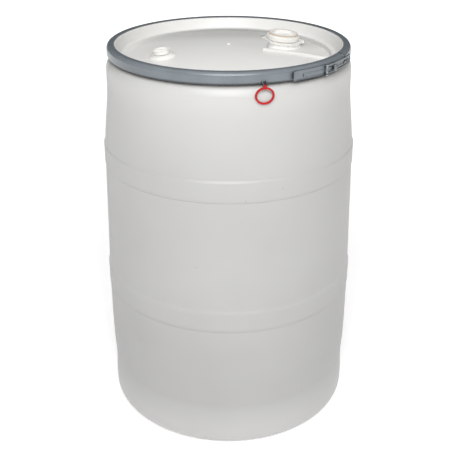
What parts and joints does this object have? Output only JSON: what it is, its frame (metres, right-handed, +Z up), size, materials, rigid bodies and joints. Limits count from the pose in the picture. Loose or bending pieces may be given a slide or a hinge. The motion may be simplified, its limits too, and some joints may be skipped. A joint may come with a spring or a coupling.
{
  "type": "open head drum",
  "caption": "Open head plastic drum with two rolling hoops, a sunk lid with large and small screw plugs, and a split steel locking ring with an over-centre lever.",
  "frame": {"origin": "on the drum's axis, on the floor under its base", "axes": "+Z up along the drum's axis; the lever and the seal are on the front, between -Y and +X"},
  "size_m": [0.6148, 0.6146, 0.926],
  "materials": {
    "natural_body": "natural blow-moulded polyethylene, milky, slightly grainy",
    "natural_lid": "natural moulded polyethylene, milky and smooth",
    "plug_white": "natural moulded polyethylene, smooth",
    "gasket_rubber": "foamed rubber",
    "gasket_tan": "tan rubber",
    "ring_paint": "blue-grey paint on rolled steel, semi-gloss",
    "bright_steel": "plated steel pins",
    "seal_red": "red moulded plastic"
  },
  "bodies": {
    "drum": {"drum_body": "natural_body"},
    "cover": {"lid": "natural_lid", "lid_gasket": "gasket_rubber", "large_plug_flange": "plug_white"},
    "ring": {"locking_ring": "ring_paint", "ring_tongue": "ring_paint", "fulcrum_bracket": "ring_paint", "fulcrum_pin": "bright_steel", "catch_bracket": "ring_paint", "seal_lug": "ring_paint"},
    "lever": {"lever": "ring_paint", "link_pin": "bright_steel"},
    "link": {"link_bail": "ring_paint"},
    "seal": {"security_seal": "seal_red"},
    "large_plug_seat": {"large_plug_gasket": "gasket_tan"},
    "large_plug": {"large_plug": "plug_white"},
    "small_plug_seat": {"small_plug_gasket": "gasket_tan"},
    "small_plug": {"small_plug": "plug_white"}
  },
  "joints": [
    {"name": "cover_lift", "type": "slide", "parent": "drum", "child": "cover", "axis": [0, 0, 1], "range_m": [0, 0.25], "deforming": ["locking_ring"]},
    {"name": "ring_lift", "type": "slide", "parent": "cover", "child": "ring", "axis": [0, 0, 1], "range_m": [0, 0.12], "deforming": ["locking_ring"]},
    {"name": "lever_swing", "type": "hinge", "parent": "ring", "child": "lever", "pos_m": [0.2293, -0.1824, 0.91], "axis": [0, 0, 1], "range_deg": [0, 140]},
    {"name": "link_swing", "type": "hinge", "parent": "lever", "child": "link", "pos_m": [0.20898, -0.20537, 0.91], "axis": [0, 0, 1], "range_deg": [-140, 0]},
    {"name": "seal_swing", "type": "hinge", "parent": "ring", "child": "seal", "pos_m": [0.07449, -0.28193, 0.8975], "axis": [-0.9668, -0.2554, 0], "range_deg": [0, 75]},
    {"name": "large_plug_rise", "type": "slide", "parent": "cover", "child": "large_plug_seat", "axis": [0.0866, -0.0448, 0.9952], "range_m": [0, 0.027]},
    {"name": "large_plug_turn", "type": "hinge", "parent": "large_plug_seat", "child": "large_plug", "pos_m": [0.1326, 0.0955, 0.9016], "axis": [0.0866, -0.0448, 0.9952], "range_deg": [0, 4320]},
    {"name": "small_plug_rise", "type": "slide", "parent": "cover", "child": "small_plug_seat", "axis": [-0.1287, -0.0624, 0.9897], "range_m": [0, 0.0215]},
    {"name": "small_plug_turn", "type": "hinge", "parent": "small_plug_seat", "child": "small_plug", "pos_m": [-0.152, -0.0735, 0.9132], "axis": [-0.1287, -0.0624, 0.9897], "range_deg": [0, 4140]}
  ],
  "couplings": [
    {"joint": "link_swing", "follows": "lever_swing", "ratio": -1},
    {"joint": "large_plug_rise", "follows": "large_plug_turn", "m_per_rad": 0.00035152},
    {"joint": "small_plug_rise", "follows": "small_plug_turn", "m_per_rad": 0.00028875}
  ]
}
